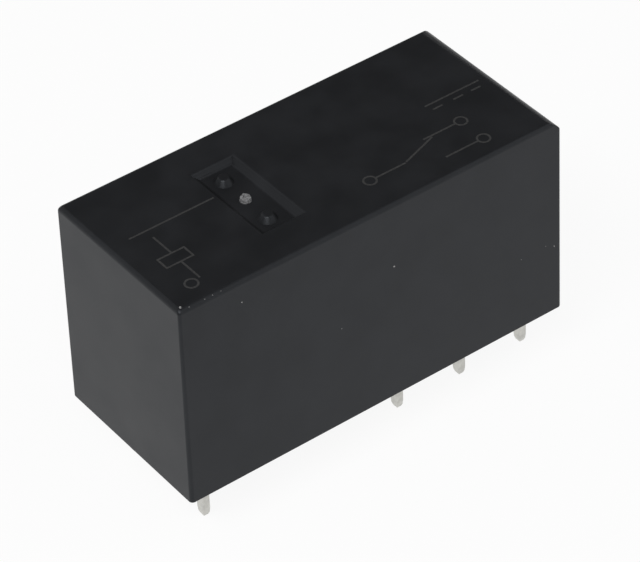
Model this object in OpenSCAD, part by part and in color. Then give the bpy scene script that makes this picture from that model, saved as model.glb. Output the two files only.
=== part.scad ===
// PCB power relay with one changeover contact, in a sealed case.
// X runs from the coil end to the contact end, Z is up, and z = 0 is the surface of the board.
// The armature is drawn released: the coil is off and the moving contact is at the normally closed one.

/* [Case] */
// Length of the case at its rim
case_l = 28.8; // [27:0.1:34]
// Width of the case at its rim
case_w = 12.7; // [12:0.1:16]
// Height of the top face above the board
case_top = 15.3; // [14.5:0.1:20]
// Wall of the case
wall = 0.75; // [0.5:0.05:1]
// Rounding of the outer edges
edge_r = 0.35; // [0.2:0.05:0.6]
// Rounding of the top edge at the contact end
end_r = 1.2; // [1:0.1:1.4]
// How far each end leans in at the top
draft_end = 0.2; // [0:0.02:0.3]
// How far each long side leans in at the top
draft_side = 0.05; // [0:0.01:0.15]
// Height of the rim above the board
rim_gap = 0.3; // [0.1:0.05:0.6]

/* [Top pocket] */
// Distance from the coil end to the middle of the pocket
pocket_inset = 9.65; // [8:0.05:12]
// Length of the pocket's mouth along the case
pocket_l = 3.05; // [2:0.05:4]
// Width of the pocket's mouth across the case
pocket_w = 7.1; // [5:0.1:8.5]
// Depth of the pocket
pocket_depth = 0.55; // [0.4:0.05:1]
// How far each side of the pocket leans in at its floor
pocket_lean = 0.3; // [0.05:0.05:0.45]
// Diameter of the two pips in the pocket
pip_d = 0.65; // [0.4:0.05:1]
// How much wider a pip is at its foot
pip_flare = 0.1; // [0.02:0.02:0.2]
// How far the pips and the gate are from the middle of the pocket, towards the coil end
pip_shift = 0.15; // [0:0.05:0.4]
// Distance between the pips
pip_pitch = 4.45; // [3:0.05:5.5]
// Diameter of the broken-off gate
gate_d = 0.7; // [0.4:0.05:1]
// Height of the broken-off gate above the pocket floor
gate_h = 0.35; // [0.1:0.05:0.4]

/* [Pins] */
// Distance from the coil end of the case to the coil pins
coil_pin_inset = 2.5; // [2.2:0.05:3]
// Distance from the contact end of the case to the normally open pins
no_pin_inset = 1.3; // [1.15:0.05:1.8]
// Distance between neighbouring contact pins
contact_pitch = 5; // [4.6:0.05:5.4]
// Distance between the two rows of pins
pin_row = 7.5; // [7:0.05:8.2]
// Thickness of a pin along the case
pin_t = 0.5; // [0.4:0.05:0.7]
// Width of a pin across the case
pin_w = 0.65; // [0.5:0.05:1]
// Length of a contact pin below the board surface
pin_len = 3.75; // [3:0.05:5]
// Length of a coil pin below the board surface
coil_pin_len = 4; // [3:0.05:5]
// Length of the taper at the tip
tip_len = 0.55; // [0.3:0.05:1.4]

/* [Base] */
// Thickness of the sealing resin
resin_t = 0.4; // [0.2:0.05:0.6]
// Height of the resin surface above the rim
resin_depth = 0.15; // [0.05:0.05:0.4]
// Thickness of the floor
floor_t = 1.05; // [0.8:0.05:1.4]
// Play between the floor and the case
base_gap = 0.05; // [0.02:0.01:0.12]
// Play of the pins in their slots
slot_gap = 0.03; // [0.02:0.01:0.08]
// Thickness of the wall between coil and contacts
barrier_t = 0.65; // [0.4:0.05:0.9]
// Gap between that wall and the normally closed pins
barrier_gap = 0.75; // [0.5:0.05:1.1]
// Diameter of a stand-off foot
foot_d = 1.4; // [0.8:0.1:1.6]
// Distance from the middle of a foot to the wall of the case
foot_edge = 0.85; // [0.82:0.01:1]
// Distance from the coil pins to the feet at that end
foot_step = 2.4; // [2:0.1:3]

/* [Magnet] */
// Thickness of the yoke
yoke_t = 1.2; // [0.9:0.05:1.5]
// Width of the yoke under the coil
yoke_w = 8.5; // [6.5:0.1:9.5]
// Diameter of the core
core_d = 3.6; // [3:0.1:4.4]
// Diameter of the pole head
pole_d = 6.4; // [5.4:0.1:7]
// Thickness of the pole head
pole_t = 0.9; // [0.6:0.05:1.2]
// Height of the staked end behind the yoke
stake_h = 0.4; // [0.25:0.05:0.6]
// Thickness of a bobbin flange
flange_t = 0.8; // [0.6:0.05:1]
// Wall of the bobbin tube
tube_wall = 0.6; // [0.4:0.05:0.8]
// Play of the core in the bobbin and the yoke
core_gap = 0.03; // [0.02:0.01:0.08]
// Gap between a flange and the side wall of the case
flange_gap = 0.4; // [0.2:0.05:0.8]
// How far the winding stays below the edge of the flanges
winding_margin = 0.3; // [0.15:0.05:0.8]
// Diameter of the winding wire that leads out
wire_d = 0.2; // [0.12:0.02:0.3]
// Thickness of the armature
arm_t = 1; // [0.8:0.05:1.2]
// Gap that is left between the armature and the pole
pole_gap = 0.05; // [0.03:0.01:0.1]
// Gap between the released armature and the end wall of the case
arm_room = 0.38; // [0.25:0.01:0.6]
// Thickness of the hinge spring
leaf_t = 0.12; // [0.08:0.01:0.16]
// Width of the hinge spring
leaf_w = 3; // [2:0.1:4]

/* [Card] */
// Thickness of the card
card_t = 0.8; // [0.6:0.05:1]
// Width of the card
card_w = 4; // [3.4:0.1:5]
// Gap between the card and the underside of the pocket
card_room = 1.3; // [0.7:0.05:1.4]
// Gap between the card and the flanges that it slides on
card_gap = 0.1; // [0.05:0.01:0.2]
// Gap between the card and the pieces that it pushes and is pushed by
push_gap = 0.06; // [0.05:0.01:0.1]

/* [Contacts] */
// Thickness of the terminal blades
blade_t = 0.5; // [0.4:0.05:0.6]
// Width of the upright blades
blade_w = 3.6; // [3.2:0.1:4.5]
// Inner radius of the bends in the blades
bend_r = 0.2; // [0.1:0.05:0.3]
// Height of the common blade above the floor
com_h = 2.1; // [1.9:0.05:2.6]
// Diameter of the contacts
contact_d = 3; // [2.4:0.1:3.2]
// Height of a fixed contact above its blade
fixed_h = 0.7; // [0.5:0.05:0.9]
// Height of a moving contact face above the spring
moving_h = 0.6; // [0.4:0.05:0.8]
// Diameter of a contact's shank
shank_d = 1.5; // [1:0.1:1.8]
// Distance from the middle of the card down to the contacts
contact_drop = 2.7; // [2.5:0.05:3.2]
// Open gap to the normally open contact
contact_gap = 0.5; // [0.4:0.02:0.6]
// Thickness of the contact spring
spring_t = 0.2; // [0.12:0.01:0.25]
// Diameter of the rivets that hold the spring
rivet_d = 0.6; // [0.4:0.05:0.8]
// Distance from the middle of a rivet to the edge of the blade
rivet_edge = 0.6; // [0.58:0.01:0.8]

/* [Hidden] */
$fn = 64;
eps = 0.01;

// Inside of the case
inner_l = case_l - 2 * wall;
inner_w = case_w - 2 * wall;
inner_top = case_top - wall;
pocket_x = -case_l / 2 + pocket_inset;
pip_x = pocket_x - pip_shift;
pocket_floor = case_top - pocket_depth;
pocket_under = pocket_floor - wall;

// Heights from the board up
resin_z = rim_gap + resin_depth;
floor_under = resin_z + resin_t;
floor_z = floor_under + floor_t;
yoke_top = floor_z + yoke_t;

// Heights from the top down
card_top = pocket_under - card_room;
card_under = card_top - card_t;
card_mid = card_top - card_t / 2;
flange_top = card_under - card_gap;
flange_h = flange_top - yoke_top;
axis_z = yoke_top + flange_h / 2;
winding_d = flange_h - 2 * winding_margin;
flange_w = inner_w - 2 * flange_gap;

// Pin grid
coil_x = -case_l / 2 + coil_pin_inset;
no_x = case_l / 2 - no_pin_inset;
com_x = no_x - contact_pitch;
nc_x = com_x - contact_pitch;
pin_y = pin_row / 2;
all_pins = [for (x = [coil_x, nc_x, com_x, no_x], s = [-1, 1]) [x, s * pin_y]];
feet = [for (x = [coil_x + foot_step, (com_x + no_x) / 2], s = [-1, 1]) [x, s * (inner_w / 2 - foot_edge)]];

// Contacts: places along X, and the turn of the spring
run_gap = 0.02;
rest_gap = 0.03;
close_gap = 0.06;
com_face = com_x - blade_t / 2;
spring_x1 = com_face - run_gap;
spring_x0 = spring_x1 - spring_t;
spring_pivot_z = floor_z + com_h;
contact_z = card_mid - contact_drop;
nc_face = spring_x0 - moving_h - rest_gap - fixed_h;
no_face = spring_x1 + moving_h + contact_gap + fixed_h;
blade_margin = 0.4;
blade_top = contact_z + contact_d / 2 + blade_margin;
spring_angle = asin((contact_gap - close_gap) / (contact_z - spring_pivot_z));
card_travel = (card_mid - spring_pivot_z) * sin(spring_angle);
rivet_drop = 0.6;
rivet_head_rim = 0.2;
rivet_head_h = 0.25;
rivet_head_gap = 0.12;
rivet_y = blade_w / 2 - rivet_edge;
rivet_z = spring_pivot_z - rivet_drop;

// Armature: places along X when it is pulled in, and its turn
arm_lift = 0.15;
tongue_out = 0.1;
fork_wall = 1.1;
arm_pivot_z = floor_z + arm_lift;
tongue_top = card_top + tongue_out;
arm_angle = asin(card_travel / (card_mid - arm_pivot_z));
arm_swing = (tongue_top - arm_pivot_z) * sin(arm_angle);
arm_x0 = -inner_l / 2 + arm_room + arm_swing;
arm_x1 = arm_x0 + arm_t;
tongue_w = card_w - 2 * fork_wall;

// Magnet: places along X
pole_x = arm_x1 + pole_gap;
flange_l0 = pole_x + pole_t;
flange_l1 = flange_l0 + flange_t;
barrier_x1 = nc_x - pin_t / 2 - barrier_gap;
barrier_x0 = barrier_x1 - barrier_t;
stake_gap = 0.15;
yoke_x1 = barrier_x0 - stake_gap - stake_h;
yoke_x0 = yoke_x1 - yoke_t;
flange_r0 = yoke_x0 - flange_t;
tube_d = core_d + 2 * core_gap + 2 * tube_wall;

// Terminal blocks of the bobbin, with their posts and wraps
block_half = 0.75;
block_side = 0.6;
block_rise = 0.6;
block_top = yoke_top + block_rise;
block_y = pin_y - block_half;
wrap_h = 1.1;
post_out = 0.3;
wrap_r = norm([pin_t, pin_w]) / 2 + slot_gap;
post_top = block_top + wrap_h + post_out;
lead_y = pin_y - wrap_r - wire_d / 2;
lead_r = winding_d / 2 + wire_d / 2 + run_gap;
lead_z = axis_z - sqrt(lead_r * lead_r - lead_y * lead_y);

// Hinge spring
leaf_drop = 0.35;
leaf_foot = 1.6;
leaf_h = 4.4;
groove_gap = 0.3;
leaf_stud_d = 0.8;
leaf_stud_z = [2, 3.4];

// Flat shape in XZ, made w wide across the case about y
module across(y, w) {
    translate([0, y + w / 2, 0])
        rotate([90, 0, 0])
            linear_extrude(w)
                children();
}

// Flat shape in YZ, made t thick along the case from x
module along(x, t) {
    translate([x, 0, 0])
        rotate([90, 0, 90])
            linear_extrude(t)
                children();
}

// Round bar along X
module bar_x(x0, x1, y, z, d) {
    translate([x0, y, z])
        rotate([0, 90, 0])
            cylinder(d = d, h = x1 - x0);
}

// Quarter of a bent strip, from its middle and its first angle
module elbow(middle, start) {
    translate(middle)
        rotate(start)
            intersection() {
                difference() {
                    circle(r = bend_r + blade_t);
                    circle(r = bend_r);
                }
                square(bend_r + blade_t);
            }
}

// Outline of a pin of width w, rounded to a blunt point
module pin_outline(w, top, drop) {
    nose_share = 0.35;
    nose_half = w * 0.44;
    point_half = w * 0.32;
    shoulder = tip_len - drop;
    nose = tip_len * nose_share - drop;
    polygon([
        [-w / 2, top], [-w / 2, shoulder], [-nose_half, nose], [-point_half, -drop],
        [point_half, -drop], [nose_half, nose], [w / 2, shoulder], [w / 2, top],
    ]);
}

// Pin that is tapered both ways at its tip
module pin(x, y, top, drop = pin_len) {
    intersection() {
        translate([0, y, 0])
            along(x - pin_t / 2, pin_t)
                pin_outline(pin_w, top, drop);
        across(y, pin_w)
            translate([x, 0])
                pin_outline(pin_t, top, drop);
    }
}

// Openings for all pins through a plate
module pin_slots(z0, z1, gap) {
    for (p = all_pins)
        translate([p.x - pin_t / 2 - gap, p.y - pin_w / 2 - gap, z0])
            cube([pin_t + 2 * gap, pin_w + 2 * gap, z1 - z0]);
}

// Quarter turn of the case's edge at the contact end, rounded at the side as the other edges are
module end_corner() {
    rotate([90, 0, 0])
        rotate_extrude($fn = 64)
            translate([end_r - edge_r, 0])
                intersection() {
                    circle(r = edge_r, $fn = 32);
                    translate([0, -edge_r])
                        square([edge_r, 2 * edge_r]);
                }
}

// Outer form of the case
module case_skin() {
    top_y = case_w / 2 - draft_side - edge_r;
    hull()
        for (sy = [-1, 1]) {
            for (sx = [-1, 1])
                translate([sx * (case_l / 2 - edge_r), sy * (case_w / 2 - edge_r), rim_gap])
                    cylinder(r = edge_r, h = eps, $fn = 32);
            translate([draft_end + edge_r - case_l / 2, sy * top_y, case_top - edge_r])
                sphere(r = edge_r, $fn = 32);
            translate([case_l / 2 - draft_end - end_r, sy * top_y, case_top - end_r])
                end_corner();
        }
}

// Block under the pocket, as wide as its mouth and a wall on each side
module pocket_block(z0, z1) {
    translate([pocket_x - pocket_l / 2 - wall, -pocket_w / 2 - wall, z0])
        cube([pocket_l + 2 * wall, pocket_w + 2 * wall, z1 - z0]);
}

// Section of the pocket that is w wide at its mouth, standing on height 0
module pocket_section(w) {
    polygon([
        [pocket_lean - w / 2, 0], [w / 2 - pocket_lean, 0], [w / 2, pocket_depth],
        [w / 2, pocket_depth + eps], [-w / 2, pocket_depth + eps], [-w / 2, pocket_depth],
    ]);
}

// Hollow of the pocket, with all four sides leaning in
module pocket_hollow() {
    intersection() {
        across(0, pocket_w)
            translate([pocket_x, pocket_floor])
                pocket_section(pocket_l);
        along(pocket_x - pocket_l / 2, pocket_l)
            translate([0, pocket_floor])
                pocket_section(pocket_w);
    }
}

module case() {
    color("#222326") {
        difference() {
            case_skin();
            difference() {
                translate([-inner_l / 2, -inner_w / 2, rim_gap - eps])
                    cube([inner_l, inner_w, inner_top - rim_gap + eps]);
                pocket_block(pocket_under, inner_top + eps);
            }
            pocket_hollow();
        }
        for (s = [-1, 1])
            translate([pip_x, s * pip_pitch / 2, pocket_floor - eps])
                cylinder(d1 = pip_d + pip_flare, d2 = pip_d, h = pocket_depth);
        translate([pip_x, 0, pocket_floor - eps])
            cylinder(d = gate_d, h = gate_h + eps);
    }
}

module base() {
    floor_l = inner_l - 2 * base_gap;
    floor_w = inner_w - 2 * base_gap;
    groove_x0 = arm_x0 - leaf_t - groove_gap;
    groove_x1 = arm_x1 + leaf_foot + groove_gap;
    groove_depth = leaf_drop + leaf_t + groove_gap;
    barrier_room = 0.4;
    color("#1d1e20")
        difference() {
            union() {
                translate([-floor_l / 2, -floor_w / 2, floor_under])
                    cube([floor_l, floor_w, floor_t]);
                translate([barrier_x0, -floor_w / 2, floor_under])
                    cube([barrier_t, floor_w, card_under - barrier_room - floor_under]);
                for (f = feet)
                    translate([f.x, f.y, 0])
                        cylinder(d = foot_d, h = floor_under + eps);
            }
            pin_slots(floor_under - eps, floor_z + eps, slot_gap);
            translate([groove_x0, -leaf_w / 2 - groove_gap, floor_z - groove_depth])
                cube([groove_x1 - groove_x0, leaf_w + 2 * groove_gap, groove_depth + eps]);
        }
}

module sealing_resin() {
    color("#17181a")
        difference() {
            translate([-inner_l / 2, -inner_w / 2, resin_z])
                cube([inner_l, inner_w, resin_t]);
            pin_slots(resin_z - eps, floor_under + eps, 0);
            for (f = feet)
                translate([f.x, f.y, resin_z - eps])
                    cylinder(d = foot_d, h = resin_t + 2 * eps);
        }
}

// Flange with the two upstands that guide the card
module flange(x) {
    guide_y = card_w / 2 + card_gap;
    guide_w = 0.7;
    translate([x, -flange_w / 2, yoke_top])
        cube([flange_t, flange_w, flange_h]);
    for (s = [-1, 1])
        translate([x, s * (guide_y + guide_w / 2) - guide_w / 2, flange_top - eps])
            cube([flange_t, guide_w, card_top - flange_top + eps]);
}

module bobbin() {
    slot_h = wire_d * 2;
    color("#d9d4c4")
        difference() {
            union() {
                flange(flange_l0);
                flange(flange_r0);
                bar_x(flange_l0, flange_r0 + flange_t, 0, axis_z, tube_d);
                for (s = [-1, 1])
                    translate([coil_x - block_side, s * pin_y - block_half, floor_z])
                        cube([flange_l1 - coil_x + block_side, 2 * block_half, block_top - floor_z]);
            }
            bar_x(flange_l0 - eps, flange_r0 + flange_t + eps, 0, axis_z, core_d + 2 * core_gap);
            pin_slots(floor_z - eps, block_top + eps, slot_gap);
            for (s = [-1, 1])
                translate([flange_l0 - eps, s > 0 ? lead_y - wire_d : -flange_w, lead_z - slot_h / 2])
                    cube([flange_t + 2 * eps, flange_w - lead_y + wire_d, slot_h]);
        }
}

module coil_winding() {
    color("#b5652f")
        difference() {
            bar_x(flange_l1, flange_r0, 0, axis_z, winding_d);
            bar_x(flange_l1 - eps, flange_r0 + eps, 0, axis_z, tube_d + 2 * run_gap);
        }
}

// End of the wire: a wrap on the post, and the run back to the winding
module coil_lead(s) {
    turns = round(wrap_h / wire_d);
    turn_h = wrap_h / turns;
    valley = wrap_r + wire_d * 0.6;
    crest = wrap_r + wire_d;
    lead_run = 1.5;
    color("#b5652f") {
        translate([coil_x, s * pin_y, block_top])
            rotate_extrude()
                polygon(concat(
                    [[wrap_r, 0]],
                    [for (i = [0 : turns - 1], k = [0, 1])
                        [k == 0 ? valley : crest, turn_h * (i + k / 2)]],
                    [[valley, wrap_h], [wrap_r, wrap_h]]
                ));
        bar_x(coil_x, flange_l1 + lead_run, s * lead_y, lead_z, wire_d);
    }
}

module coil_lead_front() {
    coil_lead(-1);
}

module coil_lead_rear() {
    coil_lead(1);
}

module core() {
    color("#9a9da1") {
        bar_x(pole_x, flange_l0, 0, axis_z, pole_d);
        bar_x(flange_l0 - eps, yoke_x1 + stake_h, 0, axis_z, core_d);
    }
}

// Iron heel: a long leg on the floor and a short one behind the coil
module yoke() {
    yoke_left = arm_x1 + pole_gap;
    neck_gap = 0.2;
    leg_drop = 0.5;
    neck_half = block_y - neck_gap;
    neck_x1 = flange_l1 + neck_gap;
    leg_top = flange_top - leg_drop;
    corner_r = yoke_t * 0.8;
    color("#8d9094")
        difference() {
            intersection() {
                across(0, yoke_w)
                    difference() {
                        polygon([
                            [yoke_left, floor_z], [yoke_x1, floor_z], [yoke_x1, leg_top],
                            [yoke_x0, leg_top], [yoke_x0, yoke_top], [yoke_left, yoke_top],
                        ]);
                        translate([yoke_x1 - corner_r, floor_z])
                            difference() {
                                square(corner_r);
                                translate([0, corner_r])
                                    circle(r = corner_r);
                            }
                    }
                translate([0, 0, floor_z - eps])
                    linear_extrude(leg_top - floor_z + 2 * eps)
                        polygon([
                            [yoke_left, -neck_half], [neck_x1, -neck_half],
                            [neck_x1, -yoke_w / 2], [yoke_x1, -yoke_w / 2],
                            [yoke_x1, yoke_w / 2], [neck_x1, yoke_w / 2],
                            [neck_x1, neck_half], [yoke_left, neck_half],
                        ]);
            }
            bar_x(yoke_x0 - eps, yoke_x1 + eps, 0, axis_z, core_d + 2 * core_gap);
        }
}

// Turns a piece about the edge of the yoke from pulled in to released
module released() {
    translate([arm_x1, 0, arm_pivot_z])
        rotate([0, -arm_angle, 0])
            translate([-arm_x1, 0, -arm_pivot_z])
                children();
}

module armature() {
    side_gap = 0.3;
    pole_rim = 0.2;
    card_clear = 0.6;
    flare = 0.4;
    cut = 0.8;
    stud_out = 0.1;
    low_half = block_y - side_gap;
    high_half = pole_d / 2 + pole_rim;
    waist_z = post_top + side_gap;
    shoulder_z = card_under - card_clear;
    color("#8d9094")
        released() {
            along(arm_x0, arm_t)
                polygon([
                    [-low_half, arm_pivot_z], [low_half, arm_pivot_z],
                    [low_half, waist_z], [high_half, waist_z + flare],
                    [high_half, shoulder_z - cut], [high_half - cut, shoulder_z],
                    [tongue_w / 2, shoulder_z], [tongue_w / 2, tongue_top],
                    [-tongue_w / 2, tongue_top], [-tongue_w / 2, shoulder_z],
                    [cut - high_half, shoulder_z], [-high_half, shoulder_z - cut],
                    [-high_half, waist_z + flare], [-low_half, waist_z],
                ]);
            for (z = leaf_stud_z)
                bar_x(arm_x0 - leaf_t - stud_out, arm_x0 + eps, 0, arm_pivot_z + z, leaf_stud_d);
        }
}

// Leaf on the outside of the armature, with its foot under the end of the yoke
module hinge_spring() {
    foot_z = arm_pivot_z - leaf_drop - leaf_t;
    color("#c9a45c")
        released()
            difference() {
                across(0, leaf_w)
                    polygon([
                        [arm_x0 - leaf_t, foot_z], [arm_x1 + leaf_foot, foot_z],
                        [arm_x1 + leaf_foot, foot_z + leaf_t], [arm_x0, foot_z + leaf_t],
                        [arm_x0, arm_pivot_z + leaf_h], [arm_x0 - leaf_t, arm_pivot_z + leaf_h],
                    ]);
                for (z = leaf_stud_z)
                    bar_x(arm_x0 - 2 * leaf_t, arm_x0 + leaf_t, 0, arm_pivot_z + z,
                        leaf_stud_d + 2 * slot_gap);
            }
}

// Slider with a fork at each end, for the tongue of the armature and the tab of the spring
module card() {
    push_x0 = arm_x1 - card_travel + push_gap;
    push_x1 = spring_x0 - push_gap;
    fork_l = 0.9;
    fork_r = 0.8;
    slot_half = tongue_w / 2 + card_gap;
    window_margin = 1;
    window_w = card_w * 0.4;
    window_x0 = flange_l1 + window_margin;
    window_x1 = flange_r0 - window_margin;
    color("#e4e0d6")
        translate([0, 0, card_under])
            linear_extrude(card_t)
                difference() {
                    translate([push_x0 - fork_l, -card_w / 2])
                        square([push_x1 - push_x0 + fork_l + fork_r, card_w]);
                    translate([push_x0 - fork_l - eps, -slot_half])
                        square([fork_l + eps, 2 * slot_half]);
                    translate([push_x1, -slot_half])
                        square([fork_r + eps, 2 * slot_half]);
                    translate([window_x0, -window_w / 2])
                        square([window_x1 - window_x0, window_w]);
                }
}

module coil_terminal_front() {
    color("#b9b8b2")
        pin(coil_x, -pin_y, post_top, coil_pin_len);
}

module coil_terminal_rear() {
    color("#b9b8b2")
        pin(coil_x, pin_y, post_top, coil_pin_len);
}

// Bent terminal: two pins, a cross bar over the floor, and an upright blade that carries a contact
module bent_terminal(pin_x, face_x) {
    dir = sign(face_x - pin_x);
    reach = abs(face_x - pin_x);
    shelf_z = floor_z + bend_r;
    bar_l = 1.2;
    bend_x = blade_t / 2 + bend_r;
    up_x0 = reach - blade_t;
    color("#b9b8b2") {
        for (s = [-1, 1])
            pin(pin_x, s * pin_y, floor_z + eps);
        translate([pin_x, 0, 0])
            mirror([dir < 0 ? 1 : 0, 0, 0]) {
                for (s = [-1, 1])
                    across(s * pin_y, pin_w)
                        elbow([bend_x, floor_z], 90);
                translate([bend_x - eps, -pin_y - pin_w / 2, shelf_z])
                    cube([bar_l, pin_row + pin_w, blade_t]);
                translate([bend_x, -blade_w / 2, shelf_z])
                    cube([up_x0 - bend_r - bend_x, blade_w, blade_t]);
                across(0, blade_w)
                    elbow([up_x0 - bend_r, shelf_z + blade_t + bend_r], 270);
                difference() {
                    along(up_x0, blade_t)
                        blade_outline(shelf_z + blade_t + bend_r - eps);
                    bar_x(up_x0 - eps, up_x0 + blade_t + eps, 0, contact_z, shank_d + 2 * run_gap);
                }
            }
    }
}

// Upright blade with its top corners cut
module blade_outline(z0) {
    cut = 0.8;
    polygon([
        [-blade_w / 2, z0], [blade_w / 2, z0], [blade_w / 2, blade_top - cut],
        [blade_w / 2 - cut, blade_top], [cut - blade_w / 2, blade_top], [-blade_w / 2, blade_top - cut],
    ]);
}

module nc_terminal() {
    bent_terminal(nc_x, nc_face);
}

module no_terminal() {
    bent_terminal(no_x, no_face);
}

// Straight terminal: two pins, a cross bar, and a low blade for the spring
module com_terminal() {
    bar_h = 0.7;
    slope_h = 0.4;
    bar_top = floor_z + bar_h;
    slope_top = bar_top + slope_h;
    pin_edge = pin_y + pin_w / 2;
    color("#b9b8b2")
        difference() {
            union() {
                for (s = [-1, 1])
                    pin(com_x, s * pin_y, floor_z + eps);
                along(com_x - blade_t / 2, blade_t)
                    polygon([
                        [-pin_edge, floor_z], [pin_edge, floor_z], [pin_edge, bar_top],
                        [blade_w / 2, slope_top], [blade_w / 2, spring_pivot_z],
                        [-blade_w / 2, spring_pivot_z], [-blade_w / 2, slope_top], [-pin_edge, bar_top],
                    ]);
            }
            rivet_holes(com_face - eps, com_face + blade_t + eps, rivet_d + 2 * run_gap);
        }
}

// Two holes for the rivets of the spring
module rivet_holes(x0, x1, d) {
    for (s = [-1, 1])
        bar_x(x0, x1, s * rivet_y, rivet_z, d);
}

module spring_rivets() {
    head_d = rivet_d + 2 * rivet_head_rim;
    head_x1 = spring_x0 - rivet_head_gap;
    color("#c7b27a")
        for (s = [-1, 1]) {
            bar_x(head_x1 - rivet_head_h, head_x1, s * rivet_y, rivet_z, head_d);
            bar_x(head_x1 - eps, com_face + blade_t, s * rivet_y, rivet_z, rivet_d);
            bar_x(com_face + blade_t - eps, com_face + blade_t + rivet_head_h, s * rivet_y, rivet_z, head_d);
        }
}

// Flat spring, wide at its root, with a tab at its top for the card
module contact_spring() {
    root_half = blade_w / 2;
    contact_rim = 0.2;
    neck_gap = 0.7;
    neck_h = 0.5;
    flex_h = 0.8;
    rivet_play = 0.12;
    head_half = contact_d / 2 + contact_rim;
    tab_half = tongue_w / 2;
    root_z = rivet_z - rivet_drop;
    neck_z = card_under - neck_gap;
    flex_z = spring_pivot_z + flex_h;
    color("#c78d4e")
        difference() {
            along(spring_x0, spring_t)
                polygon([
                    [-root_half, root_z], [root_half, root_z], [root_half, flex_z],
                    [head_half, contact_z], [head_half, neck_z - neck_h], [tab_half, neck_z],
                    [tab_half, card_top], [-tab_half, card_top], [-tab_half, neck_z],
                    [-head_half, neck_z - neck_h], [-head_half, contact_z], [-root_half, flex_z],
                ]);
            bar_x(spring_x0 - eps, spring_x1 + eps, 0, contact_z, shank_d + 2 * run_gap);
            rivet_holes(spring_x0 - eps, spring_x1 + eps, rivet_d + 2 * rivet_play);
        }
}

// Half section of a contact head with a domed face, standing on height 0
module head_section(h) {
    dome_r = contact_d * 2;
    intersection() {
        square([contact_d / 2, 2 * h]);
        translate([0, h - dome_r])
            circle(r = dome_r);
    }
}

// Half section of the shank, from below its head to just inside it
module shank_section(l) {
    translate([0, -l])
        square([shank_d / 2, l + eps]);
}

// Turns a half section about a line along X through the contacts, with height 0 at x
module turned(x) {
    translate([x, 0, contact_z])
        rotate([0, 90, 0])
            rotate_extrude()
                children();
}

// Contact in an upright blade: head on one face, shank through it, and an upset end behind
module fixed_contact(face_x, dir) {
    upset_h = 0.25;
    upset_rim = 0.25;
    upset_d = shank_d + 2 * upset_rim;
    color("#cfcfca")
        turned(face_x)
            mirror([0, dir < 0 ? 1 : 0]) {
                head_section(fixed_h);
                shank_section(blade_t);
                translate([0, -blade_t - upset_h])
                    square([upset_d / 2, upset_h]);
            }
}

module nc_contact() {
    fixed_contact(nc_face, 1);
}

module no_contact() {
    fixed_contact(no_face, -1);
}

// Contact with a head on each side of the spring
module moving_contact() {
    color("#cfcfca")
        turned(spring_x1) {
            head_section(moving_h);
            shank_section(spring_t);
            translate([0, -spring_t])
                mirror([0, 1])
                    head_section(moving_h);
        }
}

case();
base();
sealing_resin();
bobbin();
coil_winding();
coil_lead_front();
coil_lead_rear();
core();
yoke();
armature();
hinge_spring();
card();
coil_terminal_front();
coil_terminal_rear();
nc_terminal();
nc_contact();
com_terminal();
contact_spring();
spring_rivets();
moving_contact();
no_terminal();
no_contact();
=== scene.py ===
"""Dresses the solids of a sealed board relay: its case, marks, finishes and stage.

The sizes are in metres and shown in the sidebar. Meshes are drawn in millimetres and scaled at the end.
"""

import math

import bmesh
import bpy
from bpy.props import FloatProperty, FloatVectorProperty, IntProperty, PointerProperty
from mathutils import Matrix, Vector, noise


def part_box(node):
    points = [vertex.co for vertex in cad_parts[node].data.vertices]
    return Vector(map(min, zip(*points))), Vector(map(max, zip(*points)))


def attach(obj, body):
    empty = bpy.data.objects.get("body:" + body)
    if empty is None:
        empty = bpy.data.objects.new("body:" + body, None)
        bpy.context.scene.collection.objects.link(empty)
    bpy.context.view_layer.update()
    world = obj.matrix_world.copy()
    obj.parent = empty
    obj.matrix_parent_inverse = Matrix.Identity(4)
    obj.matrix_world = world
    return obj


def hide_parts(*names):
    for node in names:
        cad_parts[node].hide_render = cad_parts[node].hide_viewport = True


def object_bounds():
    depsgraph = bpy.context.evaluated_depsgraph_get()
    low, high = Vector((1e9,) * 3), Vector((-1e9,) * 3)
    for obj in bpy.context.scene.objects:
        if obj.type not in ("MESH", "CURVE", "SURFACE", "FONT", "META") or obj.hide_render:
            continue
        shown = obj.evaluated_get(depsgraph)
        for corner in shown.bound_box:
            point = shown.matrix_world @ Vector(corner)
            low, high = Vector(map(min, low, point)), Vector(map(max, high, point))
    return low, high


bl_info = {
    "name": "Board Relay",
    "version": (1, 0, 0),
    "blender": (4, 5, 0),
    "location": "View3D > Sidebar > Relay",
    "description": "Builds the case, marks, finishes and stage of a sealed board relay",
    "category": "Add Mesh",
}

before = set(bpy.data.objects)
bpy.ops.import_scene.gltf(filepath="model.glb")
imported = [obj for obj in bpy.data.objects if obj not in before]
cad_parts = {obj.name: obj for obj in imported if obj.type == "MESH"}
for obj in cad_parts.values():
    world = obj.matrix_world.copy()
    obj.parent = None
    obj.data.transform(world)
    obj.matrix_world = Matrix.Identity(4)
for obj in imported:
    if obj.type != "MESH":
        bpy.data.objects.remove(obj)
CAD_LOW, CAD_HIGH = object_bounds()
CASE_LOW, CASE_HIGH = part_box("case")
MM = 0.001
BODY = "housing"
SHARP = math.radians(35)

# Tests on a mesh: slack in millimetres, the length of a long edge, and how squarely a face looks one way

TOUCH = 0.001
CUT_SLACK = 1e-6
MERGE = 1e-4
LONG = 5.0
SQUARE = 0.999


# Sizes and colours that a user would change

def distance(name, description, default):
    """A length in metres."""
    return FloatProperty(name=name, description=description, default=default, unit="LENGTH", precision=5)


def colour(name, description, default):
    """A linear colour."""
    return FloatVectorProperty(name=name, description=description, default=default, subtype="COLOR",
                               size=3, min=0.0, max=1.0)


def count(name, description, default):
    """A whole number."""
    return IntProperty(name=name, description=description, default=default)


def power(name, description, default):
    """The power of a lamp in watts."""
    return FloatProperty(name=name, description=description, default=default, unit="POWER")


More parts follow.
